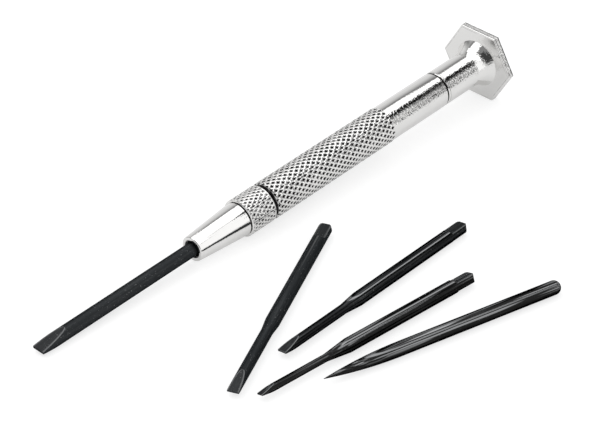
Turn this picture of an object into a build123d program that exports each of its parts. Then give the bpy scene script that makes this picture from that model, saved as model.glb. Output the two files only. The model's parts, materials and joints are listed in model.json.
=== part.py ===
from build123d import *

import os
from math import asin, cos, hypot, radians, sin, tan

# Watchmaker's screwdriver with a swivelling hexagonal cap and exchangeable blades.
# All sizes are millimetres.  Stations are distances along the tool's axis from the
# blade's working edge towards the cap.  The tool lies on the bench, which is Z = 0,
# with its working end towards -X; the loose blades and the scriber lie beside it.

# ---------------------------------------------------------------- driving dimensions
SHANK_RADIUS = 1.27  # 0.100 in stock, the same for every blade
BLADE_LENGTH = 47.6
GRIND_ANGLE = 10.0  # each facet of a blade's edge, from the blade's axis
EDGE_RATIO = 0.2  # thickness of a blade's edge over its width
TANG_LENGTH = 4.0
TANG_THICKNESS = 1.5
TANG_CORNER = 0.55
SHOULDER_STATION = 19.0  # where a narrow blade reaches its full shank

INSTALLED_WIDTH = 2.54

# The loose blades: edge width, station where the narrow neck ends, place of the edge
# beside the tool's own edge, heading from the tool's direction, and roll on the bench.
SPARE_BLADES = {
    "blade_080": (2.03, 16.4, (14.1, -30.1), 24.3, 0.0),
    "blade_070": (1.78, 15.4, (26.9, -28.7), 1.6, 9.0),
    "blade_055": (1.36, 14.1, (16.6, -33.6), -5.0, 20.0),
}
SCRIBER_PLACE = (26.5, -38.2)
SCRIBER_HEADING = -14.4
SCRIBER_TAPER = 15.0
SCRIBER_POINT = 0.04

NOSE_STATION = 35.0
CONE_END = 46.5
RING_REAR = 52.4
NOSE_RADIUS = 2.35
NOSE_EDGE = 0.3
CONE_RADIUS = 3.22
RING_RADIUS = 3.58
RING_CHAMFER = 0.15
MOUTH_RADIUS = 1.75
MOUTH_DEPTH = 0.6

COLLET_FRONT = 38.9
COLLET_REAR = 45.8
COLLET_TIP_RADIUS = 1.5
COLLET_RADIUS = 1.9
COLLET_BORE = 1.3
CLOSING_ANGLE = 14.7  # half angle of the nut's seat and of the collet's nose
COLLET_SLIT = 0.35
SLIT_LENGTH = 5.2

STUB_FRONT = 42.6
STUB_RADIUS = 2.6
BARREL_FRONT = 52.8
KNURL_END = 83.9
BARREL_REAR = 99.15
KNURL_RADIUS = 3.58
BARREL_RADIUS = 3.45
KNURL_CHAMFER = 0.55
DRIVE_BUSH_FRONT = 46.0
DRIVE_BUSH_REAR = 50.6

WASHER_THICKNESS = 0.16
WASHER_RADIUS = 3.0
NECK_RADIUS = 3.43
NECK_END = 107.7
FLARE_RADIUS_AT_FLANGE = 4.7
FLANGE_FRONT = 111.4
FLANGE_REAR = 112.8
HEX_ACROSS_FLATS = 13.8
HEX_EDGE = 0.22
SEAM_CHAMFER = 0.2
DISH_RADIUS = 5.2
DISH_DEPTH = 0.5

SCREW_SHOULDER_RADIUS = 1.5
SCREW_THREAD_RADIUS = 1.0
SCREW_THREAD_LENGTH = 6.0
SCREW_HEAD_RADIUS = 2.5
SCREW_HEAD_FRONT = 110.6
SCREW_HEAD_HEIGHT = 1.2
SCREW_SLOT_WIDTH = 0.6
SCREW_SLOT_DEPTH = 0.5

RUNNING_GAP = 0.05  # radial gap of a running fit
SEAT_GAP = 0.04  # gap at the closing cone and at end faces that turn on each other
DRIVE_GAP = 0.03  # gap round the tang in its slot
END_GAP = 0.2  # gap at end faces that never touch

# ---------------------------------------------------------------- derived dimensions
EDGE_HALF = EDGE_RATIO * INSTALLED_WIDTH / 2
HEX_APOTHEM = HEX_ACROSS_FLATS / 2
HEX_CORNER = HEX_APOTHEM / cos(radians(30))
GRIND_LENGTH = (SHANK_RADIUS - EDGE_HALF) / tan(radians(GRIND_ANGLE))

# The tool rests on the shank just behind the ground edge and on the flange's front rim.
rest_span = FLANGE_FRONT + HEX_EDGE - GRIND_LENGTH
rest_rise = HEX_APOTHEM - SHANK_RADIUS
TILT = asin(rest_rise / hypot(rest_span, rest_rise))
axis_direction = Vector(cos(TILT), 0, sin(TILT))
tip_height = SHANK_RADIUS * cos(TILT) - GRIND_LENGTH * sin(TILT)

# The origin is under the middle of the whole set's footprint.
tool_reach = FLANGE_REAR * cos(TILT) + (HEX_APOTHEM - HEX_EDGE) * sin(TILT)
tail_centre_drop = (BLADE_LENGTH - SHANK_RADIUS) * sin(radians(SCRIBER_HEADING))
footprint_low = SCRIBER_PLACE[1] + tail_centre_drop - SHANK_RADIUS
tip_x = (EDGE_HALF * sin(TILT) - tool_reach) / 2
tool_y = -(HEX_CORNER + footprint_low) / 2
tip_point = Vector(tip_x, tool_y, tip_height)

# Local X runs along the tool, local Y up and away from the bench, local Z to the side.
tool_plane = Plane(origin=tip_point, x_dir=axis_direction, z_dir=(0, -1, 0))
tool_line = Axis(tip_point, axis_direction)


def cross_plane(station):
    """The plane across the tool's axis at a station, its local X level."""
    origin = tip_point + axis_direction * station
    return Plane(origin=origin, x_dir=(0, 1, 0), z_dir=axis_direction)


def bench_plane(place, heading, roll):
    """A lying blade's plane: local X from its tip to its tail, local Y up."""
    along = Vector(cos(radians(heading)), sin(radians(heading)), 0)
    side = Vector(-along.Y, along.X, 0)
    up = Vector(0, 0, 1) * cos(radians(roll)) + side * sin(radians(roll))
    tip = Vector(tip_x + place[0], tool_y + place[1], SHANK_RADIUS)
    return Plane(origin=tip, x_dir=along, z_dir=along.cross(up))


def flat_blade(plane, width, neck_end=0.0):
    """A blade turned from round stock, ground to an edge, with a flattened tang."""
    front_radius = width / 2
    outline = [(0, 0), (0, front_radius)]
    if front_radius < SHANK_RADIUS:
        outline += [(neck_end, front_radius), (SHOULDER_STATION, SHANK_RADIUS)]
    outline += [(BLADE_LENGTH, SHANK_RADIUS), (BLADE_LENGTH, 0)]
    edge_half = EDGE_RATIO * width / 2
    grind_end = (front_radius - edge_half) / tan(radians(GRIND_ANGLE))
    outside = SHANK_RADIUS + RUNNING_GAP
    tang_front = BLADE_LENGTH - TANG_LENGTH
    with BuildPart() as blade:
        with BuildSketch(plane):
            with BuildLine():
                Polyline(*outline, close=True)
            make_face()
        revolve(axis=Axis(plane.origin, plane.x_dir))
        for side in (1, -1):
            with BuildSketch(plane):
                with BuildLine():
                    Polyline(
                        (0, side * edge_half),
                        (grind_end, side * front_radius),
                        (grind_end, side * outside),
                        (0, side * outside),
                        close=True,
                    )
                make_face()
                with BuildLine():
                    Polyline(
                        (tang_front, side * TANG_THICKNESS / 2),
                        (BLADE_LENGTH, side * TANG_THICKNESS / 2),
                        (BLADE_LENGTH, side * outside),
                        (tang_front - TANG_CORNER, side * outside),
                        close=True,
                    )
                make_face()
            extrude(amount=outside, both=True, mode=Mode.SUBTRACT)
        with BuildSketch(Plane(plane.origin, x_dir=plane.x_dir, z_dir=plane.y_dir)):
            for side in (1, -1):
                with BuildLine():
                    Polyline(
                        (BLADE_LENGTH - TANG_CORNER, side * SHANK_RADIUS),
                        (BLADE_LENGTH, side * (SHANK_RADIUS - TANG_CORNER)),
                        (BLADE_LENGTH, side * outside),
                        (BLADE_LENGTH - TANG_CORNER, side * outside),
                        close=True,
                    )
                make_face()
        extrude(amount=outside, both=True, mode=Mode.SUBTRACT)
    return blade.part


def turned(points):
    """A solid turned about the tool's axis from (station, radius) points."""
    with BuildPart() as piece:
        with BuildSketch(tool_plane):
            with BuildLine():
                Polyline(*points, close=True)
            make_face()
        revolve(axis=tool_line)
    return piece.part


def write(part, name):
    part.label = name
    export_step(part, f"parts/{name}.step")


os.makedirs("parts", exist_ok=True)

# ---------------------------------------------------------------- blades and scriber
write(flat_blade(tool_plane, INSTALLED_WIDTH), "blade_100")
for blade_name, (width, neck_end, place, heading, roll) in SPARE_BLADES.items():
    write(flat_blade(bench_plane(place, heading, roll), width, neck_end), blade_name)

scriber_plane = bench_plane(SCRIBER_PLACE, SCRIBER_HEADING, 0)
tail_start = BLADE_LENGTH - SHANK_RADIUS
tail_middle = tail_start + SHANK_RADIUS * sin(radians(45))
with BuildPart() as scriber:
    with BuildSketch(scriber_plane):
        with BuildLine():
            Line((0, 0), (0, SCRIBER_POINT))
            TangentArc((SCRIBER_TAPER, SHANK_RADIUS), (0, SCRIBER_POINT), tangent=(-1, 0))
            Line((SCRIBER_TAPER, SHANK_RADIUS), (tail_start, SHANK_RADIUS))
            ThreePointArc(
                (tail_start, SHANK_RADIUS),
                (tail_middle, SHANK_RADIUS * cos(radians(45))),
                (BLADE_LENGTH, 0),
            )
            Line((BLADE_LENGTH, 0), (0, 0))
        make_face()
    revolve(axis=Axis(scriber_plane.origin, scriber_plane.x_dir))
write(scriber.part, "scriber")

# ---------------------------------------------------------------- chuck nut
# The bore clears the shank, opens into the closing cone, then clears the collet and
# runs on the barrel's stub.
closing_slope = tan(radians(CLOSING_ANGLE))
shank_bore = SHANK_RADIUS + RUNNING_GAP
collet_clearance = COLLET_RADIUS + RUNNING_GAP
seat_start = COLLET_FRONT - SEAT_GAP - (COLLET_TIP_RADIUS - shank_bore) / closing_slope
seat_end = seat_start + (collet_clearance - shank_bore) / closing_slope
thread_bore = STUB_RADIUS + RUNNING_GAP
thread_start = STUB_FRONT - END_GAP
chuck_nut = turned(
    [
        (NOSE_STATION, MOUTH_RADIUS),
        (NOSE_STATION, NOSE_RADIUS - NOSE_EDGE),
        (NOSE_STATION + NOSE_EDGE, NOSE_RADIUS),
        (CONE_END, CONE_RADIUS),
        (CONE_END, RING_RADIUS - RING_CHAMFER),
        (CONE_END + RING_CHAMFER, RING_RADIUS),
        (RING_REAR - RING_CHAMFER, RING_RADIUS),
        (RING_REAR, RING_RADIUS - RING_CHAMFER),
        (RING_REAR, thread_bore),
        (thread_start, thread_bore),
        (thread_start, collet_clearance),
        (seat_end, collet_clearance),
        (seat_start, shank_bore),
        (NOSE_STATION + MOUTH_DEPTH, shank_bore),
    ]
)
write(chuck_nut, "chuck_nut")

# ---------------------------------------------------------------- collet
# A split sleeve: four jaws joined at the rear ring, with a nose cone that the nut closes.
nose_cone_end = COLLET_FRONT + (COLLET_RADIUS - COLLET_TIP_RADIUS) / closing_slope
with BuildPart() as collet:
    with BuildSketch(tool_plane):
        with BuildLine():
            Polyline(
                (COLLET_FRONT, COLLET_BORE),
                (COLLET_FRONT, COLLET_TIP_RADIUS),
                (nose_cone_end, COLLET_RADIUS),
                (COLLET_REAR, COLLET_RADIUS),
                (COLLET_REAR, COLLET_BORE),
                close=True,
            )
        make_face()
    revolve(axis=tool_line)
    with BuildSketch(cross_plane(COLLET_FRONT)):
        for slit_angle in (45, 135):
            Rectangle(2 * COLLET_RADIUS + RUNNING_GAP, COLLET_SLIT, rotation=slit_angle)
    extrude(amount=SLIT_LENGTH, mode=Mode.SUBTRACT)
write(collet.part, "collet")

# ---------------------------------------------------------------- barrel
# Turned from bar: the threaded stub and its bore, the knurled grip, the plain rear end
# and the tapped hole for the pivot screw.
stub_bore = COLLET_RADIUS + RUNNING_GAP
barrel = turned(
    [
        (STUB_FRONT, stub_bore),
        (STUB_FRONT, STUB_RADIUS - RING_CHAMFER),
        (STUB_FRONT + RING_CHAMFER, STUB_RADIUS),
        (BARREL_FRONT, STUB_RADIUS),
        (BARREL_FRONT, KNURL_RADIUS - KNURL_CHAMFER),
        (BARREL_FRONT + KNURL_CHAMFER, KNURL_RADIUS),
        (KNURL_END - RING_CHAMFER, KNURL_RADIUS),
        (KNURL_END, BARREL_RADIUS),
        (BARREL_REAR - SEAM_CHAMFER, BARREL_RADIUS),
        (BARREL_REAR, BARREL_RADIUS - SEAM_CHAMFER),
        (BARREL_REAR, SCREW_THREAD_RADIUS),
        (BARREL_REAR - SCREW_THREAD_LENGTH, SCREW_THREAD_RADIUS),
        (BARREL_REAR - SCREW_THREAD_LENGTH - SCREW_THREAD_RADIUS, 0),
        (DRIVE_BUSH_REAR + stub_bore, 0),
        (DRIVE_BUSH_REAR, stub_bore),
    ]
)
write(barrel, "barrel")

# ---------------------------------------------------------------- drive bush
# Pressed to the bottom of the stub's bore; its slot turns the blade by its tang.
tang_slot_width = 2 * (SHANK_RADIUS + DRIVE_GAP)
with BuildPart() as drive_bush:
    with BuildSketch(cross_plane(DRIVE_BUSH_FRONT)):
        Circle(stub_bore)
        Rectangle(tang_slot_width, TANG_THICKNESS + 2 * DRIVE_GAP, mode=Mode.SUBTRACT)
    extrude(amount=BLADE_LENGTH + 2 * RUNNING_GAP - DRIVE_BUSH_FRONT)
    with BuildSketch(cross_plane(BLADE_LENGTH + 2 * RUNNING_GAP)):
        Circle(stub_bore)
    extrude(amount=DRIVE_BUSH_REAR - BLADE_LENGTH - 2 * RUNNING_GAP)
write(drive_bush.part, "drive_bush")

# ---------------------------------------------------------------- swivel
washer_rear = BARREL_REAR + WASHER_THICKNESS
thrust_washer = turned(
    [
        (BARREL_REAR, SCREW_SHOULDER_RADIUS + RUNNING_GAP),
        (BARREL_REAR, WASHER_RADIUS),
        (washer_rear, WASHER_RADIUS),
        (washer_rear, SCREW_SHOULDER_RADIUS + RUNNING_GAP),
    ]
)
write(thrust_washer, "thrust_washer")

screw_head_rear = SCREW_HEAD_FRONT + SCREW_HEAD_HEIGHT
with BuildPart() as pivot_screw:
    with BuildSketch(tool_plane):
        with BuildLine():
            Polyline(
                (BARREL_REAR - SCREW_THREAD_LENGTH, 0),
                (BARREL_REAR - SCREW_THREAD_LENGTH, SCREW_THREAD_RADIUS),
                (BARREL_REAR, SCREW_THREAD_RADIUS),
                (BARREL_REAR, SCREW_SHOULDER_RADIUS),
                (SCREW_HEAD_FRONT, SCREW_SHOULDER_RADIUS),
                (SCREW_HEAD_FRONT, SCREW_HEAD_RADIUS),
                (screw_head_rear - RING_CHAMFER, SCREW_HEAD_RADIUS),
                (screw_head_rear, SCREW_HEAD_RADIUS - RING_CHAMFER),
                (screw_head_rear, 0),
                close=True,
            )
        make_face()
    revolve(axis=tool_line)
    with BuildSketch(cross_plane(screw_head_rear)):
        Rectangle(2 * SCREW_HEAD_RADIUS + RUNNING_GAP, SCREW_SLOT_WIDTH, rotation=60)
    extrude(amount=-SCREW_SLOT_DEPTH, mode=Mode.SUBTRACT)
write(pivot_screw.part, "pivot_screw")

# The cap is one turned piece: neck, flare and hexagonal flange, with a dished end.
cap_front = washer_rear + SEAT_GAP
cap_bore = SCREW_SHOULDER_RADIUS + RUNNING_GAP
head_recess = SCREW_HEAD_RADIUS + 3 * RUNNING_GAP
with BuildPart() as swivel_cap:
    with BuildSketch(cross_plane(FLANGE_FRONT)):
        RegularPolygon(HEX_CORNER, 6)
    extrude(amount=FLANGE_REAR - FLANGE_FRONT)
    chamfer(swivel_cap.edges().group_by(tool_line)[0], HEX_EDGE)
    chamfer(swivel_cap.edges().group_by(tool_line)[-1], HEX_EDGE)
    with BuildSketch(tool_plane):
        with BuildLine():
            Polyline(
                (FLANGE_REAR, 0),
                (cap_front, 0),
                (cap_front, NECK_RADIUS - SEAM_CHAMFER),
                (cap_front + SEAM_CHAMFER, NECK_RADIUS),
                (NECK_END, NECK_RADIUS),
            )
            TangentArc(
                (NECK_END, NECK_RADIUS),
                (FLANGE_FRONT, FLARE_RADIUS_AT_FLANGE),
                tangent=(1, 0),
            )
            Polyline(
                (FLANGE_FRONT, FLARE_RADIUS_AT_FLANGE),
                (FLANGE_REAR, FLARE_RADIUS_AT_FLANGE),
                (FLANGE_REAR, 0),
            )
        make_face()
    revolve(axis=tool_line)
    with BuildSketch(tool_plane):
        with BuildLine():
            Polyline(
                (cap_front, 0),
                (cap_front, cap_bore),
                (SCREW_HEAD_FRONT - SEAT_GAP, cap_bore),
                (SCREW_HEAD_FRONT - SEAT_GAP, head_recess),
                (FLANGE_REAR, head_recess),
                (FLANGE_REAR, 0),
                close=True,
            )
        make_face()
    revolve(axis=tool_line, mode=Mode.SUBTRACT)
    with BuildSketch(tool_plane):
        with BuildLine():
            Line((FLANGE_REAR - DISH_DEPTH, 0), (FLANGE_REAR, 0))
            Line((FLANGE_REAR, 0), (FLANGE_REAR, DISH_RADIUS))
            TangentArc(
                (FLANGE_REAR - DISH_DEPTH, 0),
                (FLANGE_REAR, DISH_RADIUS),
                tangent=(0, 1),
            )
        make_face()
    revolve(axis=tool_line, mode=Mode.SUBTRACT)
write(swivel_cap.part, "swivel_cap")
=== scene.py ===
import json
from math import acos, asin, atan, atan2, cos, pi, radians, sin, tan

import bpy
import numpy as np
from mathutils import Matrix, Vector


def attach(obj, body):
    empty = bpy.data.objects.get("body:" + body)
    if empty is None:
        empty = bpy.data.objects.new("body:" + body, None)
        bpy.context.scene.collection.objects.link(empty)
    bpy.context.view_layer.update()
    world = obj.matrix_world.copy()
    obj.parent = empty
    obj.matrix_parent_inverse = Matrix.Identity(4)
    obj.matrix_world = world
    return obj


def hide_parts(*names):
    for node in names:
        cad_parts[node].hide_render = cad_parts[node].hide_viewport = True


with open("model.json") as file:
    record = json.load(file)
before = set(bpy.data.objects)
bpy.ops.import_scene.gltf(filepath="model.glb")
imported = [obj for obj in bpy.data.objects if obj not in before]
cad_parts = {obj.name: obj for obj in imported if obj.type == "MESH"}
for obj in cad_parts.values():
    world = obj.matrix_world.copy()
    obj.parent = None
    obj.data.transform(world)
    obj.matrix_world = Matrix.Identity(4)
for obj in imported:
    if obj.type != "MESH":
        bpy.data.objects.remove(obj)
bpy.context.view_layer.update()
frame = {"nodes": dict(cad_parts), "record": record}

# Looks of a watchmaker's screwdriver with a swivelling hexagonal cap, three spare blades
# and a scriber.  Stations are distances along the tool from the blade's working edge.
# Sizes are millimetres, as in the CAD part, and MM turns them into metres.
MM = 0.001

# ---------------------------------------------------------------- sizes of the CAD part
SHANK_RADIUS = 1.27
BLADE_LENGTH = 47.6
GRIND_ANGLE = 10.0
EDGE_RATIO = 0.2  # thickness of the working edge as a share of its width
TANG_LENGTH = 4.0
TANG_HALF = 0.75  # half the tang's thickness
TANG_CORNER = 0.55  # size of its clipped corners
SHOULDER_STATION = 19.0  # where the shank reaches its full width

# Edge width, end of the narrow neck, place beside the tool's edge, heading and roll.
BLADES = {
    "blade_080": (2.03, 16.4, (14.1, -30.1), 24.3, 0.0),
    "blade_070": (1.78, 15.4, (26.9, -28.7), 1.6, 9.0),
    "blade_055": (1.36, 14.1, (16.6, -33.6), -5.0, 20.0),
}
INSTALLED_WIDTH = 2.54
SCRIBER_PLACE = (26.5, -38.2)
SCRIBER_HEADING = -14.4
SCRIBER_TAPER = 15.0  # length of the point
SCRIBER_POINT = 0.04  # radius of its very end

NOSE_STATION = 35.0
CONE_END = 46.5
RING_REAR = 52.4
NOSE_RADIUS = 2.35
CONE_RADIUS = 3.22
RING_RADIUS = 3.58
NOSE_ROUND = 0.26
MOUTH_RADIUS = 1.75
MOUTH_DEPTH = 0.5
MOUTH_ROUND = 0.2
RING_CHAMFER = 0.15
NUT_BORE = 1.32
NUT_BORE_END = NOSE_STATION + 3.2
NUT_ROOM_FRONT = NOSE_STATION + 5.6  # where the inner cone that squeezes the collet ends
NUT_ROOM_RADIUS = 1.95
THREAD_BORE = 2.65

STUB_FRONT = 42.6
THREAD_END = STUB_FRONT - 0.2  # front end of the nut's thread
STUB_RADIUS = 2.6
STUB_BORE = 1.95
STUB_BORE_DEPTH = 6.0
BARREL_FRONT = 52.8
KNURL_END = 83.9
BARREL_REAR = 99.15
KNURL_RADIUS = 3.58
BARREL_RADIUS = 3.45
KNURL_CHAMFER = 0.55
PIVOT_HOLE_RADIUS = 1.0
PIVOT_HOLE_DEPTH = 6.0

CAP_FRONT = 99.35
NECK_RADIUS = 3.43
NECK_END = 107.7
FLARE_RADIUS_AT_FLANGE = 4.7
FLANGE_FRONT = 111.4
FLANGE_REAR = 112.8
HEX_APOTHEM = 6.9
HEX_EDGE = 0.22  # radius of the rounded edges of the hexagon's faces
HEX_CORNER_ROUND = 0.14
SEAM_CHAMFER = 0.2
DISH_RADIUS = 5.2
DISH_DEPTH = 0.5
HEAD_RECESS = 2.65  # radius of the recess for the pivot screw's head
HEAD_SEAT = 110.56
CAP_BORE = 1.55

# ---------------------------------------------------------------- sizes of the detail
BARREL_STARTS = 21  # knurl grooves of each hand round the barrel
BARREL_PITCH = 1.55  # length of one knurl diamond along the barrel
RING_STARTS = 25
RING_PITCH = 1.5
KNURL_STEPS = 8  # mesh steps across one diamond
GROOVE_WIDTH = 0.5  # share of a diamond's width
PIT_WIDTH = 0.72
BARREL_CUT = (0.05, 0.2, 5.0)  # groove depth, extra depth at crossings, painted shade in them, partly grime
RING_CUT = (0.04, 0.14, 3.4)
STEP_GROOVE = 0.2  # width and depth of the groove between cone and ring, painted dark as shade
RING_RIM = 0.2  # plain rim behind the knurled ring
STEP_DOWN = 0.05  # length of the step from the knurled grip down to the plain barrel
PLAIN_RING = 5.0  # place of a mesh ring on the plain barrel, behind the knurl
LINE_STATION = 0.5  # fine turned line on the cap, behind the seam
LINE_WIDTH = 0.1
SHADED_EDGE = 0.3  # width of the painted shade, partly grime, on the chamfer behind the chuck nut
THREAD_PITCH = 0.5
THREAD_DEPTH = 0.14
THREAD_STEPS = 10  # mesh rings in one turn of the thread
THREAD_FLANKS = 0.8  # share of the pitch that the sloping flanks take
THREAD_RELIEF = 1.0  # plain neck between the thread and the knurled grip
STUB_CHAMFER = 0.25
FINE_STEP = 0.03  # smallest mesh step, where one finish ends and the next begins
BLADE_BEVEL = 0.05
EDGE_LINE = 0.11  # width of the fine dark lines of painted shade along the hexagon's edges

# Mesh points along curves and round sections.
SIDE_STEPS = 25  # each round side of a blade's section
FLAT_STEPS = 9  # each flat of it
GRIND_STEPS = 22
TANG_STEPS = 7
OGIVE_STEPS = 30
BALL_STEPS = 16
SCRIBER_SEGMENTS = 72
FLARE_STEPS = 22
DISH_STEPS = 12
HEX_FLAT_STEPS = 19
HEX_CORNER_STEPS = 9
HEX_EDGE_STEPS = 5
SHARP_ANGLE = 32.0  # degrees; edges that turn more sharply stay crisp

# ---------------------------------------------------------------- finish of the plate
FULL_SHADE_AND_GRIME = 2.0  # groove attribute where the plate is painted black: painted shade, partly grime
CLEAN_BELOW = 0.4
THREAD_SHADE = 0.6  # painted shade, partly grime, at the thread's front end
FACE_LINE_SHADE = 0.8  # painted shade along the edges of the hexagon's front face
# painted shade along the hexagon's rear edges
REAR_EDGE_SHADE = 1.6
SHADE_AND_GRIME_PATCH = 1.3  # millimetres across the patches where the painted shade and grime are thicker or thinner

# How coarse the plating's orange peel is; above 1 the plate is less glossy too.
CONE_PEEL = 0.2
RING_PEEL = 1.2
KNURL_PEEL = 1.4
HEX_FACE_PEEL = 0.5
HEX_SIDE_PEEL = 1.8
FINE_PEEL = 0.12  # on the plain barrel, the cap's neck and its flare, but for one side
COARSE_TURN = 48.0  # middle of the coarse side, in degrees from the top
COARSE_HALF = 30.0
COARSE_FADE = 10.0
PEEL_SIZE = 0.36  # millimetres across one pebble
DULLING = 0.22  # what a peel of 2 adds to the plate's roughness

# ---------------------------------------------------------------- colours
PLATE_DULL = (0.83, 0.825, 0.815)
PLATE_BRIGHT = (0.90, 0.895, 0.885)
# black of the painted shade in the plate's grooves, gaps and bores, partly grime
SHADE_AND_GRIME = (0.02, 0.02, 0.02)
GROUND_STEEL = (0.046, 0.048, 0.05)
# colour of worn edges and of the painted highlight and glint on a blade's upper side
WORN_AND_HIGHLIT_STEEL = (0.30, 0.305, 0.31)
SPECK = (0.3, 0.3, 0.3)
PAPER_SEEN = ((0.38, 0.38, 0.38), (0.40, 0.40, 0.40))
PAPER_MIRRORED = (0.5, 0.5, 0.5)

# Heights above a blade's axis between which its painted highlight, broken into rub streaks, and its
# painted glint line come and go.
HIGHLIGHT_BAND = (0.1, 0.9)
GLINT_RISE = (0.97, 1.01)
GLINT_FALL = (1.1, 1.14)
EDGE_WEAR = 0.6  # how bright the worn edges of a blade's flats are
GROUND_ROUGHNESS = 0.5
LATHE_LINES = 0.09  # millimetres from one turned line to the next

# ---------------------------------------------------------------- frames of the pieces
edge_mount = next(m for m in frame["record"]["mounts"] if m["name"] == "driver_edge")
TIP = Vector(edge_mount["pos_m"])
ALONG = -Vector(edge_mount["axis"]).normalized()


def axes_matrix(origin, along, up):
    """Local X runs along, local Y is up, local Z is to the side."""
    side = along.cross(up)
    matrix = Matrix((along, up, side)).transposed().to_4x4()
    matrix.translation = origin
    return matrix


def bench_matrix(place, heading, roll):
    """The frame of a piece lying on the bench beside the tool."""
    along = Vector((cos(radians(heading)), sin(radians(heading)), 0))
    side = Vector((-along.y, along.x, 0))
    up = Vector((0, 0, 1)) * cos(radians(roll)) + side * sin(radians(roll))
    origin = Vector((TIP.x + place[0] * MM, TIP.y + place[1] * MM, SHANK_RADIUS * MM))
    return axes_matrix(origin, along, up)


# The tool's axis rises towards the cap, in the plane of X and Z.
TOOL = axes_matrix(TIP, ALONG, Vector((-ALONG.z, 0, ALONG.x)))


# ---------------------------------------------------------------- mesh tools
class Skin:
    """One mesh grown ring by ring round the local X axis.

    Its point attributes steer the materials: place is the point in the piece's own frame.
    On plate, groove is how dark it is painted, as painted shade in hollows and gaps that is
    partly grime, and peel how coarse the orange peel is.  On blades and the scriber, groove
    marks worn edges and peel marks ground flats.
    """

    def __init__(self):
        self.points = []
        self.faces = []
        self.groove = []
        self.peel = []
        self.peel_here = 1.0

    def ring(self, station, radius, turns, groove=0.0):
        """Adds a ring of points; station, radius and groove may vary round it."""
        start = len(self.points)
        count = len(turns)
        station = np.broadcast_to(station, count)
        radius = np.broadcast_to(radius, count)
        ys, zs = radius * np.cos(turns), radius * np.sin(turns)
        self.points += list(zip(station, ys, zs))
        self.groove += list(np.broadcast_to(groove, count))
        self.peel += list(np.broadcast_to(self.peel_here, count))
        return np.arange(start, start + count)

    def bridge(self, one, two):
        """Joins two rings of the same count with quads."""
        quads = np.stack([one, np.roll(one, -1), np.roll(two, -1), two], -1)
        self.faces += quads.tolist()

    def chain(self, rings):
        """Joins each ring to the next."""
        for one, two in zip(rings, rings[1:]):
            self.bridge(one, two)

    def cap(self, ring, front):
        """Closes a ring with one face, which looks forward or back along the axis."""
        face = ring.tolist()
        self.faces.append(face[::-1] if front else face)

    def turned(self, profile, segments, shade_and_grime=0.0):
        """Adds rings through (station, radius) pairs and joins them."""
        turns = np.arange(segments) * 2 * pi / segments
        rings = [self.ring(s, r, turns, shade_and_grime) for s, r in profile]
        self.chain(rings)
        return rings

    def make(self, name, matrix, material):
        """The finished object in the row frame, with crisp edges where it turns sharply."""
        mesh = bpy.data.meshes.new(name)
        local = np.array(self.points, float) * MM
        mesh.from_pydata(local.tolist(), [], self.faces)
        for label, values in (("groove", self.groove), ("peel", self.peel)):
            layer = mesh.attributes.new(label, "FLOAT", "POINT")
            layer.data.foreach_set("value", np.array(values, np.float32))
        place = mesh.attributes.new("place", "FLOAT_VECTOR", "POINT")
        place.data.foreach_set("vector", local.astype(np.float32).ravel())
        mesh.transform(matrix)
        mesh.validate()
        mesh.shade_smooth()
        mesh.set_sharp_from_angle(angle=radians(SHARP_ANGLE))
        mesh.materials.append(material)
        made = bpy.data.objects.new(name, mesh)
        bpy.context.scene.collection.objects.link(made)
        return made


def rounded(corners, steps=4):
    """Points of a profile given by (station, radius, fillet) corners."""
    places = [np.array(c[:2]) for c in corners]
    points = [places[0]]
    for before, here, after, corner in zip(places, places[1:], places[2:], corners[1:]):
        fillet = corner[2]
        if not fillet:
            points.append(here)
            continue
        back = (before - here) / np.linalg.norm(before - here)
        ahead = (after - here) / np.linalg.norm(after - here)
        half = acos(np.clip(back @ ahead, -1, 1)) / 2
        middle = (back + ahead) / np.linalg.norm(back + ahead)
        centre = here + middle * fillet / sin(half)
        first = here + back * fillet / tan(half) - centre
        last = here + ahead * fillet / tan(half) - centre
        begin = atan2(first[1], first[0])
        sweep = (atan2(last[1], last[0]) - begin + pi) % (2 * pi) - pi
        for k in range(steps + 1):
            angle = begin + sweep * k / steps
            points.append(centre + fillet * np.array((cos(angle), sin(angle))))
    points.append(places[-1])
    return points


def coarse_side(turns):
    """The plating's orange peel round the tool: coarse on one side, fine elsewhere."""
    off = np.abs((turns - radians(COARSE_TURN) + pi) % (2 * pi) - pi)
    return np.clip((radians(COARSE_HALF) - off) / radians(COARSE_FADE) + 1, FINE_PEEL, 1.0)


def groove_wave(phase):
    """0 in the bottom of a groove and 1 on the crest between two grooves."""
    return np.abs((phase % 1.0) - 0.5) * 2


def knurl(skin, front, rear, starts, pitch, crest, cut, limit=None):
    """Diamonds between two stations; returns the first and the last ring.

    cut holds the groove's depth, the depth of the pits where two grooves cross and the painted
    shade, partly grime, in the pits.  limit(station), if given, is a radius that nothing stands
    above.
    """
    groove_cut, pit_cut, pit_shade = cut
    count = starts * KNURL_STEPS
    step = pitch / (2 * KNURL_STEPS)
    last = 2 * round((rear - front) / step / 2)
    stations = np.linspace(front, rear, last + 1)
    rows = []
    for k, station in enumerate(stations):
        place = (np.arange(count) + (k % 2) / 2) / KNURL_STEPS
        drift = k / (2 * KNURL_STEPS)
        one, two = groove_wave(place + drift), groove_wave(place - drift)
        in_groove = 1 - np.minimum(np.minimum(one, two) / GROOVE_WIDTH, 1)
        in_pit = 1 - np.minimum(np.maximum(one, two) / PIT_WIDTH, 1)
        radius = crest - groove_cut * in_groove - pit_cut * in_pit
        if limit:
            radius = np.minimum(radius, limit(station))
        rows.append(skin.ring(station, radius, place * 2 * pi / starts, pit_shade * in_pit))
    # Every other row is turned by half a step, so the faces between rows are diamonds.
    for k in range(1, last):
        shift = -1 if k % 2 else 0
        before, after = np.roll(rows[k - 1], shift), np.roll(rows[k + 1], shift)
        faces = np.stack([rows[k], before, np.roll(rows[k], -1), after], -1)
        skin.faces += faces.tolist()
    first, second = rows[0], rows[1]
    skin.faces += np.stack([first, np.roll(first, -1), second], -1).tolist()
    first, second = rows[-1], rows[-2]
    skin.faces += np.stack([np.roll(first, -1), first, second], -1).tolist()
    return rows[0], rows[-1]


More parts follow.
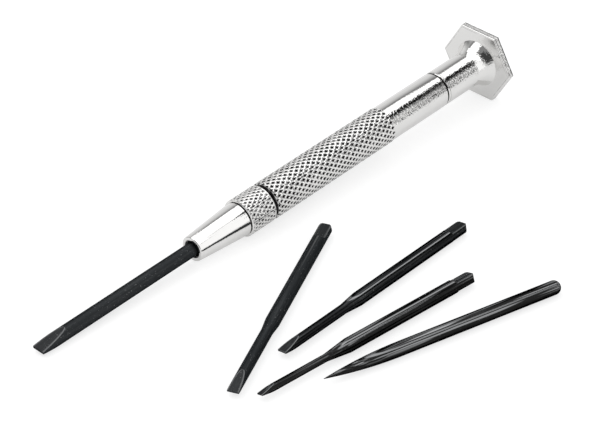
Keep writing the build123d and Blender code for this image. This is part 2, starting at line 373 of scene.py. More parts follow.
# ---------------------------------------------------------------- material tools
def add(tree, kind, inputs=None, **settings):
    """A node with its settings and inputs, which are values or other nodes' sockets."""
    made = tree.nodes.new(kind)
    for name, value in settings.items():
        setattr(made, name, value)
    for name, value in (inputs or {}).items():
        if isinstance(value, bpy.types.NodeSocket):
            tree.links.new(value, made.inputs[name])
        else:
            made.inputs[name].default_value = value
    return made


def new_material(name):
    """A material with an empty node tree, and that tree."""
    material = bpy.data.materials.new(name)
    material.use_nodes = True
    tree = material.node_tree
    tree.nodes.clear()
    return material, tree


def finish_material(tree, inputs):
    """Adds the surface shader with its inputs and the output."""
    shader = add(tree, "ShaderNodeBsdfPrincipled", inputs)
    output = add(tree, "ShaderNodeOutputMaterial")
    tree.links.new(shader.outputs["BSDF"], output.inputs["Surface"])


def grain(tree, vector, size, detail=2.0):
    """Noise with features about size millimetres across."""
    inputs = {"Vector": vector, "Scale": 1 / (size * MM), "Detail": detail}
    return add(tree, "ShaderNodeTexNoise", inputs).outputs["Fac"]


def spread(tree, value, source, target=(0.0, 1.0)):
    """Maps a value from one range to another and holds it at the ends."""
    inputs = {"Value": value}
    inputs["From Min"], inputs["From Max"] = source
    inputs["To Min"], inputs["To Max"] = target
    return add(tree, "ShaderNodeMapRange", inputs).outputs["Result"]


def node_math(tree, operation, *values):
    """One step of arithmetic on numbers and sockets."""
    return add(tree, "ShaderNodeMath", dict(enumerate(values)), operation=operation).outputs[0]


def blend_colour(tree, factor, one, two):
    """Colour one where the factor is 0 and colour two where it is 1."""
    made = tree.nodes.new("ShaderNodeMix")
    made.data_type = "RGBA"
    tree.links.new(factor, made.inputs["Factor"])
    for socket, value in ((made.inputs[6], one), (made.inputs[7], two)):
        if isinstance(value, bpy.types.NodeSocket):
            tree.links.new(value, socket)
        else:
            socket.default_value = (*value, 1)
    return made.outputs[2]


def bump(tree, height, distance, normal=None):
    """A normal for relief of some millimetres, on top of another normal."""
    inputs = {"Height": height, "Distance": distance * MM, "Strength": 1.0}
    if normal is not None:
        inputs["Normal"] = normal
    return add(tree, "ShaderNodeBump", inputs).outputs["Normal"]


def attribute(tree, name):
    """Outputs of the node that reads a point attribute of the mesh."""
    return add(tree, "ShaderNodeAttribute", attribute_name=name).outputs


def nickel(name, mottle, roughness):
    """Bright nickel plate: cloudy, with an orange-peel skin and painted shade, partly grime, in its
    deep corners.

    mottle is the height of the peel's pebbles in millimetres.
    """
    material, tree = new_material(name)
    place = attribute(tree, "place")["Vector"]
    groove = attribute(tree, "groove")["Fac"]
    peel = attribute(tree, "peel")["Fac"]
    cloud = grain(tree, place, size=2.4, detail=4.0)
    pebbles = grain(tree, place, size=PEEL_SIZE, detail=1.0)
    clean = blend_colour(tree, cloud, PLATE_DULL, PLATE_BRIGHT)
    # Painted shade, partly grime, blackens the plate where groove is high, thicker in patches.
    patches = spread(tree, grain(tree, place, size=SHADE_AND_GRIME_PATCH), (0.35, 0.65), (0.7, 1.7))
    patchy = node_math(tree, "MULTIPLY", groove, patches)
    shade_and_grime = spread(tree, patchy, (CLEAN_BELOW, FULL_SHADE_AND_GRIME))
    colour = blend_colour(tree, shade_and_grime, clean, SHADE_AND_GRIME)
    matte = spread(tree, peel, (1.0, 2.0), (roughness, roughness + DULLING))
    relief = node_math(tree, "MULTIPLY", pebbles, peel)
    finish_material(
        tree,
        {
            "Base Color": colour,
            "Metallic": 1.0,
            "Roughness": matte,
            "Normal": bump(tree, relief, mottle, bump(tree, cloud, 0.005)),
        },
    )
    return material


def black_oxide(name, dark, light, roughness, specks, highlight_streak, glint, edge):
    """Blackened steel with pale specks and a painted highlight along its upper side, broken into
    lengthwise rub streaks.

    The three strengths are of the specks, of the painted highlight streaks along the upper
    side and of a painted glint line near the top; edge tints the light that glances off.
    """
    material, tree = new_material(name)
    place = attribute(tree, "place")["Vector"]
    worn_edge = attribute(tree, "groove")["Fac"]
    ground = attribute(tree, "peel")["Fac"]
    stretched = {"Vector": place, "Scale": (0.02, 1, 1)}  # 50 times longer than wide
    drawn = add(tree, "ShaderNodeMapping", stretched).outputs["Vector"]
    cloud = grain(tree, place, size=1.3, detail=3.0)
    lines = grain(tree, drawn, size=0.3, detail=1.0)
    dust = grain(tree, place, size=0.2, detail=1.0)
    base = blend_colour(tree, cloud, dark, light)
    base = blend_colour(tree, ground, base, GROUND_STEEL)
    upward = add(tree, "ShaderNodeSeparateXYZ", {"Vector": place}).outputs["Y"]

    def by_height(heights, target):
        """Goes from one value to another between two heights above the axis."""
        return spread(tree, upward, (heights[0] * MM, heights[1] * MM), target)

    # Painted highlight along the upper side, broken into lengthwise rub streaks, with brighter worn
    # edges.
    highlit_side = by_height(HIGHLIGHT_BAND, (0.05, 1.0))
    wear_and_highlight = node_math(tree, "MULTIPLY", highlit_side, spread(tree, lines, (0.5, 0.6), (0.0, highlight_streak)))
    # A painted glint line near the top of the blade.
    rise = by_height(GLINT_RISE, (0.0, glint))
    fall = by_height(GLINT_FALL, (glint, 0.0))
    on_glint = node_math(tree, "MINIMUM", rise, fall)
    wear_and_highlight = node_math(tree, "MAXIMUM", wear_and_highlight, on_glint)
    wear_and_highlight = node_math(tree, "MAXIMUM", wear_and_highlight, node_math(tree, "MULTIPLY", worn_edge, EDGE_WEAR))
    worn_and_highlit = blend_colour(tree, wear_and_highlight, base, WORN_AND_HIGHLIT_STEEL)
    is_speck = spread(tree, dust, (0.7, 0.76), (0.0, specks))
    speckled = blend_colour(tree, is_speck, worn_and_highlit, SPECK)
    finish_material(
        tree,
        {
            "Base Color": speckled,
            "Metallic": 1.0,
            "Specular Tint": (edge, edge, edge, 1),
            "Roughness": spread(tree, ground, (0.0, 1.0), (roughness, GROUND_ROUGHNESS)),
            "Normal": bump(tree, lines, 0.006, bump(tree, dust, 0.004)),
        },
    )
    return material


def turned_metal(name, one, two, roughness):
    """Bare turned metal with fine lines round the tool's axis."""
    material, tree = new_material(name)
    place = add(tree, "ShaderNodeTexCoord").outputs["Object"]
    station = add(
        tree, "ShaderNodeVectorMath", {0: place, 1: tuple(ALONG)}, operation="DOT_PRODUCT"
    ).outputs["Value"]
    lines = add(
        tree,
        "ShaderNodeTexNoise",
        {"W": station, "Scale": 1 / (LATHE_LINES * MM), "Detail": 3.0},
        noise_dimensions="1D",
    ).outputs["Fac"]
    stain = grain(tree, place, size=0.9, detail=3.0)
    finish_material(
        tree,
        {
            "Base Color": blend_colour(tree, stain, one, two),
            "Metallic": 1.0,
            "Roughness": spread(tree, stain, (0.3, 0.7), (roughness * 0.8, roughness * 1.3)),
            "Normal": bump(tree, lines, 0.004),
        },
    )
    return material


plate = nickel("bright_nickel_plate", mottle=0.042, roughness=0.06)
satin_black = black_oxide(
    "satin_black_oxide",
    dark=(0.033, 0.036, 0.038),
    light=(0.046, 0.05, 0.053),
    roughness=0.5,
    specks=0.9,
    highlight_streak=0.05,
    glint=0.0,
    edge=0.12,
)
gloss_black = black_oxide(
    "gloss_black_oxide",
    dark=(0.020, 0.021, 0.022),
    light=(0.030, 0.031, 0.033),
    roughness=0.17,
    specks=0.6,
    highlight_streak=0.15,
    glint=0.9,
    edge=0.05,
)
rubbed_and_highlit_black = black_oxide(
    "rubbed_highlit_black_oxide",
    dark=(0.014, 0.014, 0.014),
    light=(0.022, 0.022, 0.022),
    roughness=0.22,
    specks=0.3,
    highlight_streak=1.0,
    glint=0.8,
    edge=0.05,
)
bare_steel = turned_metal("turned_steel", (0.5, 0.5, 0.49), (0.62, 0.62, 0.61), 0.28)
bronze = turned_metal("spring_bronze", (0.62, 0.43, 0.24), (0.74, 0.54, 0.32), 0.3)


# ---------------------------------------------------------------- blades
def chord_ring(skin, station, radius, flat_half, side_limit, bevel):
    """A round section cut by two flats, as two arcs and two flats of fixed point counts.

    side_limit cuts its width, and bevel eases the corners where flats and arcs meet.
    """
    flat_half = min(flat_half, radius)
    top = asin(flat_half / radius)
    ease = min(bevel / radius, top / 2) if flat_half < radius else 0.0
    corner = min(radius * cos(top), side_limit)
    inset = max(corner - bevel, 0.0) if flat_half < radius else corner
    points = []
    for sign in (1, -1):
        for t in np.linspace(-1, 1, SIDE_STEPS):
            angle = t * (top - ease)
            points.append((sign * min(radius * cos(angle), side_limit), sign * radius * sin(angle)))
        for t in np.linspace(1, -1, FLAT_STEPS):
            points.append((sign * t * inset, sign * flat_half))
    start = len(skin.points)
    skin.points += [(station, up, side) for side, up in points]
    cut = 1.0 if flat_half < radius else 0.0
    for steps, ground in ((SIDE_STEPS, 0.0), (FLAT_STEPS, cut)) * 2:
        skin.groove += [cut] + [0.0] * (steps - 2) + [cut]
        skin.peel += [ground] * steps
    return np.arange(start, start + len(points))


def blade(name, body, matrix, width, neck_end, material):
    """A flat blade: ground edge, neck, shoulder, shank and clipped tang."""
    skin = Skin()
    front_radius = width / 2
    edge_half = EDGE_RATIO * width / 2
    slope = tan(radians(GRIND_ANGLE))
    grind_end = (front_radius - edge_half) / slope
    tang_front = BLADE_LENGTH - TANG_LENGTH
    clip_front = BLADE_LENGTH - TANG_CORNER

    def radius_at(station):
        """Narrow up to the neck's end, then a cone to the shank's full width."""
        share = np.clip((station - neck_end) / (SHOULDER_STATION - neck_end), 0, 1)
        return front_radius + (SHANK_RADIUS - front_radius) * share

    def flat_at(station):
        """Half the height between the flats, which are ground at the edge and the tang."""
        if station < grind_end:
            return edge_half + station * slope
        ramp = (tang_front - station) / TANG_CORNER
        return TANG_HALF + max(ramp, 0) * (SHANK_RADIUS - TANG_HALF)

    grind = grind_end * np.sin(np.linspace(0, pi / 2, GRIND_STEPS))
    stations = list(grind)
    if front_radius < SHANK_RADIUS:
        stations += [(grind_end + neck_end) / 2, neck_end, SHOULDER_STATION]
    stations += [(SHOULDER_STATION + tang_front) / 2, tang_front - TANG_CORNER]
    stations += list(tang_front - TANG_CORNER * np.cos(np.linspace(0, pi / 2, TANG_STEPS)[1:]))
    stations += [clip_front, clip_front + TANG_CORNER / 2, BLADE_LENGTH]
    rings = []
    for station in stations:
        side = SHANK_RADIUS - max(station - clip_front, 0)
        radius, flat = radius_at(station), flat_at(station)
        rings.append(chord_ring(skin, station, radius, flat, side, BLADE_BEVEL))
    skin.chain(rings)
    skin.cap(rings[0], True)
    skin.cap(rings[-1], False)
    made = skin.make(name, matrix, material)
    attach(made, body)
    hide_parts(body)


blade("blade_100_steel", "blade_100", TOOL, INSTALLED_WIDTH, 0.0, satin_black)
# The rubbed look carries the strongest painted highlight along the upper side.
BLADE_LOOKS = {
    "blade_080": (satin_black, "black_oxide_satin"),
    "blade_070": (gloss_black, "black_oxide_gloss"),
    "blade_055": (rubbed_and_highlit_black, "black_oxide_rubbed"),
}
for node_name, (width, neck_end, place, heading, roll) in BLADES.items():
    material, slot_name = BLADE_LOOKS[node_name]
    matrix = bench_matrix(place, heading, roll)
    blade(node_name + "_steel", node_name, matrix, width, neck_end, material)


def scriber():
    """A round awl with an ogive point and a ball tail."""
    skin = Skin()
    skin.peel_here = 0.0  # no ground flats
    rise = SHANK_RADIUS - SCRIBER_POINT
    bow = (SCRIBER_TAPER**2 + rise**2) / (2 * rise)
    profile = []
    for t in np.linspace(0, 1, OGIVE_STEPS):
        back = SCRIBER_TAPER * (1 - t)
        profile.append((SCRIBER_TAPER * t, SHANK_RADIUS - bow + (bow**2 - back**2) ** 0.5))
    tail = BLADE_LENGTH - SHANK_RADIUS
    for angle in np.linspace(0, pi / 2, BALL_STEPS)[:-1]:
        profile.append((tail + SHANK_RADIUS * sin(angle), SHANK_RADIUS * cos(angle)))
    rings = skin.turned(profile, SCRIBER_SEGMENTS)
    skin.cap(rings[0], True)
    skin.cap(rings[-1], False)
    made = skin.make("scriber_steel", bench_matrix(SCRIBER_PLACE, SCRIBER_HEADING, 0), rubbed_and_highlit_black)
    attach(made, "scriber")
    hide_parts("scriber")


scriber()


# ---------------------------------------------------------------- chuck nut
def chuck_nut():
    """A cone nose with a rounded lip and a knurled ring, bored right through."""
    skin = Skin()
    segments = RING_STARTS * KNURL_STEPS
    # The bore and the mouth are painted dark as shade, partly grime, up to just inside the rim,
    # where the clean cone begins.
    mouth = rounded(
        [
            (NUT_BORE_END, NUT_BORE, 0),
            (NOSE_STATION + MOUTH_DEPTH, NUT_BORE, MOUTH_ROUND),
            (NOSE_STATION + 0.1, MOUTH_RADIUS - 0.05, 0),
        ]
    )
    rings = skin.turned(mouth, segments, FULL_SHADE_AND_GRIME)
    slope = (CONE_RADIUS - NOSE_RADIUS) / (CONE_END - NOSE_STATION)
    skin.peel_here = CONE_PEEL
    cone = rounded(
        [
            (NOSE_STATION + 0.08, MOUTH_RADIUS, 0),
            (NOSE_STATION, MOUTH_RADIUS + 0.06, 0.05),
            (NOSE_STATION, NOSE_RADIUS - 0.02, NOSE_ROUND),
            (CONE_END - STEP_GROOVE, CONE_RADIUS - STEP_GROOVE * slope, 0.03),
            (CONE_END - STEP_GROOVE, CONE_RADIUS - 0.12, 0),
        ],
        steps=6,
    )
    rings += skin.turned(cone, segments)
    skin.bridge(rings[len(mouth) - 1], rings[len(mouth)])
    # The dark groove: painted shade covers its floor and ends part-way up its walls.
    floor_radius = CONE_RADIUS - STEP_GROOVE
    groove = [(CONE_END - STEP_GROOVE, floor_radius), (CONE_END, floor_radius)]
    step = skin.turned(groove, segments, FULL_SHADE_AND_GRIME)
    skin.bridge(rings[-1], step[0])
    shoulder = rounded(
        [
            (CONE_END, CONE_RADIUS - 0.1, 0),
            (CONE_END, RING_RADIUS - RING_CHAMFER, 0.03),
            (CONE_END + RING_CHAMFER, RING_RADIUS, 0),
        ]
    )
    skin.peel_here = RING_PEEL
    rim = skin.turned(shoulder, segments)
    skin.bridge(step[-1], rim[0])
    knurl_front = CONE_END + RING_CHAMFER + FINE_STEP
    knurl_rear = RING_REAR - RING_CHAMFER - RING_RIM
    first, last = knurl(
        skin, knurl_front, knurl_rear, RING_STARTS, RING_PITCH, RING_RADIUS, RING_CUT
    )
    skin.bridge(rim[-1], first)
    edge = rounded(
        [
            (knurl_rear + 0.04, RING_RADIUS, 0),
            (RING_REAR - RING_CHAMFER, RING_RADIUS, 0.04),
            (RING_REAR, RING_RADIUS - RING_CHAMFER, 0),
        ]
    )
    back = skin.turned(edge, segments)
    skin.bridge(last, back[0])
    # The nut's inside is painted dark as shade.
    inner = [
        (RING_REAR, RING_RADIUS - RING_CHAMFER - 0.05),
        (RING_REAR, THREAD_BORE + RING_CHAMFER),
        (RING_REAR - RING_CHAMFER, THREAD_BORE),
        (THREAD_END, THREAD_BORE),
        (THREAD_END, NUT_ROOM_RADIUS),
        (NUT_ROOM_FRONT, NUT_ROOM_RADIUS),
        (NUT_BORE_END, NUT_BORE),
    ]
    inside = skin.turned(inner, segments, FULL_SHADE_AND_GRIME)
    skin.bridge(back[-1], inside[0])
    skin.bridge(inside[-1], rings[0])
    made = skin.make("chuck_nut_plated", TOOL, plate)
    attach(made, "chuck_nut")
    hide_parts("chuck_nut")


chuck_nut()


# ---------------------------------------------------------------- barrel
def barrel():
    """Threaded stub, knurled grip and plain rear end."""
    skin = Skin()
    segments = BARREL_STARTS * KNURL_STEPS
    turns = np.arange(segments) * 2 * pi / segments
    stub = rounded(
        [
            (STUB_FRONT + STUB_BORE_DEPTH, STUB_BORE, 0),
            (STUB_FRONT, STUB_BORE, 0.05),
            (STUB_FRONT, STUB_RADIUS - STUB_CHAMFER, 0.05),
            (STUB_FRONT + STUB_CHAMFER, STUB_RADIUS - THREAD_DEPTH, 0),
        ]
    )
    rings = skin.turned(stub, segments)
    thread_front = STUB_FRONT + STUB_CHAMFER + 0.05
    thread_rear = BARREL_FRONT - THREAD_RELIEF
    rows = round((thread_rear - thread_front) / THREAD_PITCH * THREAD_STEPS)
    for k in range(rows + 1):
        station = thread_front + (thread_rear - thread_front) * k / rows
        wave = groove_wave(station / THREAD_PITCH + turns / (2 * pi))
        depth = THREAD_DEPTH * (1 - np.minimum(wave / THREAD_FLANKS, 1))
        # painted shade, partly grime, deepens towards the gap behind the nut
        shade_and_grime = THREAD_SHADE + (FULL_SHADE_AND_GRIME - THREAD_SHADE) * k / rows
        rings.append(skin.ring(station, STUB_RADIUS - depth, turns, shade_and_grime))
    # The relief and the chamfer's first part, in the gap behind the nut, are painted dark as shade.
    relief = [
        (thread_rear + 0.1, STUB_RADIUS - THREAD_DEPTH),
        (BARREL_FRONT, STUB_RADIUS - THREAD_DEPTH),
        (BARREL_FRONT, KNURL_RADIUS - KNURL_CHAMFER - FINE_STEP),
        (BARREL_FRONT + SHADED_EDGE, KNURL_RADIUS - KNURL_CHAMFER + SHADED_EDGE),
    ]
    rings += [skin.ring(s, r, turns, FULL_SHADE_AND_GRIME) for s, r in relief]
    skin.peel_here = KNURL_PEEL
    clean = SHADED_EDGE + FINE_STEP
    rings.append(skin.ring(BARREL_FRONT + clean, KNURL_RADIUS - KNURL_CHAMFER + clean, turns))
    skin.chain(rings)
    knurl_front = BARREL_FRONT + clean + FINE_STEP

    def chamfer(station):
        return KNURL_RADIUS - KNURL_CHAMFER + (station - BARREL_FRONT)

    knurl_rear = KNURL_END - STEP_DOWN
    first, last = knurl(
        skin, knurl_front, knurl_rear, BARREL_STARTS, BARREL_PITCH, KNURL_RADIUS, BARREL_CUT, chamfer
    )
    skin.bridge(rings[-1], first)
    plain = rounded(
        [
            (KNURL_END, BARREL_RADIUS, 0),
            (KNURL_END + PLAIN_RING, BARREL_RADIUS, 0),
            (BARREL_REAR - SEAM_CHAMFER, BARREL_RADIUS, 0.05),
            (BARREL_REAR - SEAM_CHAMFER / 2, BARREL_RADIUS - SEAM_CHAMFER / 2, 0),
        ]
    )
    skin.peel_here = coarse_side(turns)
    tail = skin.turned(plain, segments)
    skin.bridge(last, tail[0])
    # The outer half of the seam's chamfer is clean and its inner half painted dark as shade in the
    # seam.
    end_face = [
        (BARREL_REAR - 0.08, BARREL_RADIUS - SEAM_CHAMFER / 2),
        (BARREL_REAR, BARREL_RADIUS - SEAM_CHAMFER),
        (BARREL_REAR, PIVOT_HOLE_RADIUS),
        (BARREL_REAR - PIVOT_HOLE_DEPTH, PIVOT_HOLE_RADIUS),
    ]
    end = skin.turned(end_face, segments, FULL_SHADE_AND_GRIME)
    skin.bridge(tail[-1], end[0])
    skin.cap(end[-1], False)
    skin.cap(rings[0], True)
    made = skin.make("barrel_plated", TOOL, plate)
    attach(made, "barrel")
    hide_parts("barrel")


barrel()


# ---------------------------------------------------------------- swivel cap
def hexagon_turns():
    """Directions of the points round a hexagon, close together at its corners."""
    reach = (HEX_APOTHEM - HEX_CORNER_ROUND) * tan(radians(30))
    flat = [atan(y / HEX_APOTHEM) for y in np.linspace(-reach, reach, HEX_FLAT_STEPS)]
    centre = (HEX_APOTHEM - HEX_CORNER_ROUND) / cos(radians(30))
    corner = []
    for t in np.linspace(-30, 30, HEX_CORNER_STEPS)[1:-1]:
        along = centre + HEX_CORNER_ROUND * cos(radians(t))
        across = HEX_CORNER_ROUND * sin(radians(t))
        corner.append(radians(30) + atan2(across, along))
    sector = flat + corner
    return np.array([a + radians(60) * k for k in range(6) for a in sector])


def hexagon_radius(turns, apothem, corner):
    """Distance to a hexagon's outline with rounded corners, its flats facing up and down."""
    sector = (turns + radians(30)) % radians(60) - radians(30)
    off = np.abs(sector)
    centre = (apothem - corner) / cos(radians(30))
    from_corner = radians(30) - off
    squared = corner**2 - (centre * np.sin(from_corner)) ** 2
    arc = centre * np.cos(from_corner) + np.sqrt(np.maximum(squared, 0))
    reach = atan((apothem - corner) * tan(radians(30)) / apothem)
    return np.where(off <= reach, apothem / np.cos(sector), arc)


def swivel_cap():
    """Neck, flare and hexagonal flange in one piece, with a dished end."""
    skin = Skin()
    turns = hexagon_turns()
    skin.peel_here = coarse_side(turns)
    # The painted shade of the seam ends half-way up the chamfer, where the clean neck begins.
    seam_face = [
        (HEAD_SEAT, CAP_BORE),
        (CAP_FRONT, CAP_BORE),
        (CAP_FRONT, NECK_RADIUS - SEAM_CHAMFER),
        (CAP_FRONT + 0.06, NECK_RADIUS - SEAM_CHAMFER / 2),
    ]
    line = CAP_FRONT + LINE_STATION
    neck = rounded(
        [
            (CAP_FRONT + 0.08, NECK_RADIUS - 0.09, 0),
            (CAP_FRONT + SEAM_CHAMFER, NECK_RADIUS, 0.05),
            (line - LINE_WIDTH / 2, NECK_RADIUS, 0.01),
        ]
    )
    past_line = [(line + LINE_WIDTH / 2, NECK_RADIUS), (NECK_END, NECK_RADIUS)]
    rise = FLARE_RADIUS_AT_FLANGE - NECK_RADIUS
    run = FLANGE_FRONT - NECK_END
    bow = (run**2 + rise**2) / (2 * rise)
    sweep = asin(run / bow)
    flare = []
    for t in np.linspace(0, 1, FLARE_STEPS)[1:]:
        flare.append((NECK_END + bow * sin(sweep * t), NECK_RADIUS + bow * (1 - cos(sweep * t))))
    rings = [skin.ring(s, r, turns, FULL_SHADE_AND_GRIME) for s, r in seam_face]
    rings += [skin.ring(s, r, turns) for s, r in neck]
    for share in (0.3, 0.7):  # the two sides of the fine line's floor, painted dark as shade
        station = line + (share - 0.5) * LINE_WIDTH
        rings.append(skin.ring(station, NECK_RADIUS - LINE_WIDTH / 2, turns, FULL_SHADE_AND_GRIME))
    rings += [skin.ring(s, r, turns) for s, r in past_line + flare]

    def hexagon(station, inset, groove=0.0):
        """Adds a hexagonal ring that is smaller than the flange by inset."""
        radius = hexagon_radius(turns, HEX_APOTHEM - inset, HEX_CORNER_ROUND)
        rings.append(skin.ring(station, radius, turns, groove))

    skin.peel_here = HEX_FACE_PEEL
    face = hexagon_radius(turns, HEX_APOTHEM - HEX_EDGE, HEX_CORNER_ROUND)
    for t in (0.03, 0.3, 0.6, 0.85):
        radius = FLARE_RADIUS_AT_FLANGE * (1 - t) + face * t
        rings.append(skin.ring(FLANGE_FRONT, radius, turns))
    edge_turns = np.linspace(0, pi / 2, HEX_EDGE_STEPS)
    # Thin lines of painted shade along the face's edge, at the sides' front and round the rear edge.
    hexagon(FLANGE_FRONT, HEX_EDGE + 2 * EDGE_LINE)
    hexagon(FLANGE_FRONT, HEX_EDGE + EDGE_LINE, FACE_LINE_SHADE)
    for angle in edge_turns:
        hexagon(FLANGE_FRONT + HEX_EDGE * (1 - cos(angle)), HEX_EDGE * (1 - sin(angle)))
    skin.peel_here = HEX_SIDE_PEEL
    hexagon(FLANGE_FRONT + HEX_EDGE + EDGE_LINE, 0, FULL_SHADE_AND_GRIME)
    hexagon(FLANGE_FRONT + HEX_EDGE + 2 * EDGE_LINE, 0)
    hexagon(FLANGE_REAR - HEX_EDGE - 2 * EDGE_LINE, 0)
    skin.peel_here = 1.0
    for angle in edge_turns:
        station = FLANGE_REAR - HEX_EDGE * (1 - sin(angle))
        hexagon(station, HEX_EDGE * (1 - cos(angle)), REAR_EDGE_SHADE)
    hexagon(FLANGE_REAR, HEX_EDGE + EDGE_LINE)
    skin.peel_here = HEX_FACE_PEEL
    for t in (0.5, 0.96):
        radius = face * (1 - t) + DISH_RADIUS * t
        rings.append(skin.ring(FLANGE_REAR, radius, turns))
    hollow = (DISH_RADIUS**2 + DISH_DEPTH**2) / (2 * DISH_DEPTH)

    def dish_depth(radius):
        """The dish is part of a ball whose radius is hollow."""
        return DISH_DEPTH - (hollow - (hollow**2 - radius**2) ** 0.5)

    # An eased rim and a plain wall lead from the dish to the screw's seat.
    for radius in np.linspace(DISH_RADIUS, HEAD_RECESS + 0.15, DISH_STEPS):
        rings.append(skin.ring(FLANGE_REAR - dish_depth(radius), radius, turns))
    rings.append(skin.ring(FLANGE_REAR - dish_depth(HEAD_RECESS) - 0.1, HEAD_RECESS, turns))
    rings.append(skin.ring(HEAD_SEAT, HEAD_RECESS, turns))
    skin.chain(rings)
    skin.bridge(rings[-1], rings[0])
    made = skin.make("swivel_cap_plated", TOOL, plate)
    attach(made, "swivel_cap")
    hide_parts("swivel_cap")


swivel_cap()


# ---------------------------------------------------------------- CAD nodes that stay
for node_name, material in {
    "collet": bare_steel,
    "drive_bush": bare_steel,
    "pivot_screw": bare_steel,
    "thrust_washer": bronze,
}.items():
    slots = frame["nodes"][node_name].data.materials
    slots.clear()
    slots.append(material)


# ---------------------------------------------------------------- floor, light, camera
FLOOR_SIZE = 3.0
SEEN_GLOW = 0.68  # a light table: most of its brightness comes from below
MIRRORED_GLOW = 0.3
OVERHEAD = 1.4
WHITE_CARD = 1.1
GREY_CARD = 0.26
DARK_CARD = 0.05
PALE_STRIP = 0.72
SLAT_PITCH = 10.0  # degrees; the plating's peel breaks the slats' reflection into specks
KEY_PLACE = (-0.1, 0.3, 0.6)  # metres, as are the light's and the floor's sizes
KEY_SIZE = 0.4
KEY_POWER = 0.6


def floor():
    """White paper on a light table; mirrors and diffuse light see it dimmer."""
    mesh = bpy.data.meshes.new("floor")
    half = FLOOR_SIZE / 2
    corners = [(-half, -half, 0), (half, -half, 0), (half, half, 0), (-half, half, 0)]
    mesh.from_pydata(corners, [], [(0, 1, 2, 3)])
    material, tree = new_material("white_paper")
    place = add(tree, "ShaderNodeTexCoord").outputs["Object"]
    fibre = grain(tree, place, size=4.0, detail=3.0)
    seen = add(tree, "ShaderNodeLightPath").outputs["Is Camera Ray"]
    paper = blend_colour(tree, seen, PAPER_MIRRORED, blend_colour(tree, fibre, *PAPER_SEEN))
    glow = spread(tree, seen, (0.0, 1.0), (MIRRORED_GLOW, SEEN_GLOW))
    finish_material(
        tree,
        {
            "Base Color": paper,
            "Roughness": 0.9,
            "Specular IOR Level": 0.0,
            "Emission Color": (1, 1, 1, 1),
            "Emission Strength": glow,
        },
    )
    mesh.materials.append(material)
    made = bpy.data.objects.new("floor", mesh)
    bpy.context.scene.collection.objects.link(made)


def within(tree, value, low, high, soft):
    """1 where value lies between low and high, with soft edges, and 0 outside."""
    rise = spread(tree, value, (low - soft / 2, low + soft / 2), (0.0, 1.0))
    fall = spread(tree, value, (high - soft / 2, high + soft / 2), (1.0, 0.0))
    return node_math(tree, "MULTIPLY", rise, fall)


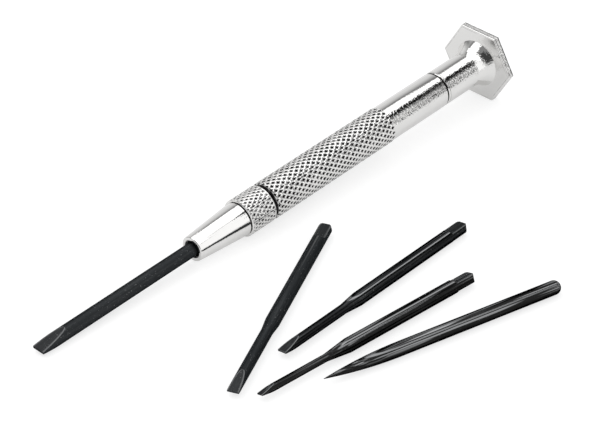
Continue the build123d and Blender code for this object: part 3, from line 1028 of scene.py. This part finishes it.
def studio():
    """A white tent with an overhead softbox and white and dark cards round the tool.

    Only glossy rays see them.  Headings run from +X towards +Y and heights from the horizon,
    both in degrees; the camera stands at heading -138.
    """
    world = bpy.data.worlds.new("studio")
    world.use_nodes = True
    bpy.context.scene.world = world
    tree = world.node_tree
    tree.nodes.clear()
    direction = add(tree, "ShaderNodeTexCoord").outputs["Generated"]
    parts = add(tree, "ShaderNodeSeparateXYZ", {"Vector": direction}).outputs
    heading = node_math(tree, "ARCTAN2", parts["Y"], parts["X"])
    heading = node_math(tree, "MULTIPLY", heading, 180 / pi)
    height = node_math(tree, "MULTIPLY", node_math(tree, "ARCSINE", parts["Z"]), 180 / pi)

    def hang(behind, brightness, card_heading, half_width, low, high, soft=2.0):
        """Hangs a card over a range of headings and heights, in front of what is behind."""
        off = node_math(tree, "SUBTRACT", heading, card_heading)
        wrapped = node_math(tree, "WRAP", off, 180.0, -180.0)
        across = within(tree, wrapped, -half_width, half_width, soft)
        up = within(tree, height, low, high, soft)
        mask = node_math(tree, "MULTIPLY", across, up)
        mixed = add(tree, "ShaderNodeMix", {"Factor": mask}, data_type="FLOAT")
        tree.links.new(behind, mixed.inputs[2])
        tree.links.new(brightness, mixed.inputs[3])
        return mixed.outputs[0]

    def level(value):
        """A number as a socket."""
        made = add(tree, "ShaderNodeValue")
        made.outputs[0].default_value = value
        return made.outputs[0]

    # The tent and the shade card both get darker upwards, the tent faster and faster.
    climb = node_math(tree, "POWER", spread(tree, height, (0.0, 40.0)), 3.0)
    backdrop = spread(tree, climb, (0.0, 1.0), (0.76, 0.24))
    shade = spread(tree, height, (26.0, 42.0), (0.38, 0.01))
    slats = node_math(tree, "SINE", node_math(tree, "MULTIPLY", height, 2 * pi / SLAT_PITCH))
    slatted = spread(tree, slats, (0.0, 0.8), (0.05, 0.95))
    # Brightness, heading, half width, lowest and highest edge and, for some, softness.
    cards = [
        # the softbox, and a lower corner of it on the far side
        (level(OVERHEAD), 30.0, 121.0, 45.0, 100.0, 3.0),
        (level(OVERHEAD), 71.0, 9.0, 38.0, 50.0),
        # beside the camera, and to its far left
        (level(DARK_CARD), -117.0, 22.0, 10.0, 70.0, 12.0),
        (level(GREY_CARD), 92.0, 12.0, -5.0, 33.0, 20.0),
        # the shade card for the barrel's dark band, and the slatted one for its specks
        (shade, -27.0, 17.5, 24.0, 54.0),
        (slatted, -34.0, 19.5, -4.0, 26.0),
        # a lower piece of the softbox, past the dark card
        (level(OVERHEAD), 6.0, 18.0, 38.0, 60.0, 3.0),
        # white cards beside the dark one, mirrored in the cone, and the cone's thin line
        (level(WHITE_CARD), -71.0, 16.5, 2.0, 43.0),
        (level(WHITE_CARD), -55.5, 8.0, 28.0, 53.0),
        (level(WHITE_CARD), -52.0, 8.5, 44.0, 60.0),
        (level(PALE_STRIP), -49.0, 8.0, 53.5, 56.5),
    ]
    light = backdrop
    for card in cards:
        light = hang(light, *card)
    glossy = add(tree, "ShaderNodeBackground", {"Strength": 1.0})
    tree.links.new(light, glossy.inputs["Color"])
    plain = add(tree, "ShaderNodeBackground", {"Color": (1, 1, 1, 1), "Strength": 1.0})
    is_glossy = add(tree, "ShaderNodeLightPath").outputs["Is Glossy Ray"]
    mixed = add(tree, "ShaderNodeMixShader", {0: is_glossy})
    tree.links.new(plain.outputs[0], mixed.inputs[1])
    tree.links.new(glossy.outputs[0], mixed.inputs[2])
    output = add(tree, "ShaderNodeOutputWorld")
    tree.links.new(mixed.outputs[0], output.inputs["Surface"])


def softbox(name, place, aim, size, power):
    """A square area light that the metal doesn't mirror."""
    light = bpy.data.lights.new(name, "AREA")
    light.shape = "SQUARE"
    light.size = size
    light.energy = power
    made = bpy.data.objects.new(name, light)
    bpy.context.scene.collection.objects.link(made)
    made.location = place
    made.rotation_mode = "QUATERNION"
    made.rotation_quaternion = (Vector(aim) - Vector(place)).to_track_quat("-Z", "Y")
    made.visible_glossy = False


# The camera's place from the tool's working edge, its heading from +X towards +Y, its
# angle below the horizon and its roll.
CAMERA_OFFSET = (-181.85, -220.02)
CAMERA_HEIGHT = 228.41
CAMERA_HEADING = 42.02
CAMERA_PITCH = 35.443
CAMERA_ROLL = 1.412
CAMERA_LENS = 134.5
SENSOR_WIDTH = 36.0


def camera():
    """The photo's camera, placed from the tool's working edge."""
    heading, pitch, roll = (radians(a) for a in (CAMERA_HEADING, CAMERA_PITCH, CAMERA_ROLL))
    forward = Vector((cos(heading) * cos(pitch), sin(heading) * cos(pitch), -sin(pitch)))
    level_right = Vector((sin(heading), -cos(heading), 0))
    level_up = level_right.cross(forward)
    right = cos(roll) * level_right + sin(roll) * level_up
    up = cos(roll) * level_up - sin(roll) * level_right
    data = bpy.data.cameras.new("camera")
    data.sensor_width = SENSOR_WIDTH
    data.lens = CAMERA_LENS
    data.clip_start = 0.01
    made = bpy.data.objects.new("camera", data)
    bpy.context.scene.collection.objects.link(made)
    matrix = Matrix((right, up, -forward)).transposed().to_4x4()
    x, y = TIP.x + CAMERA_OFFSET[0] * MM, TIP.y + CAMERA_OFFSET[1] * MM
    matrix.translation = Vector((x, y, CAMERA_HEIGHT * MM))
    made.matrix_world = matrix
    bpy.context.scene.camera = made


floor()
studio()
softbox("key", KEY_PLACE, (0, 0, 0), KEY_SIZE, KEY_POWER)
camera()
bpy.context.scene.view_settings.view_transform = "Standard"
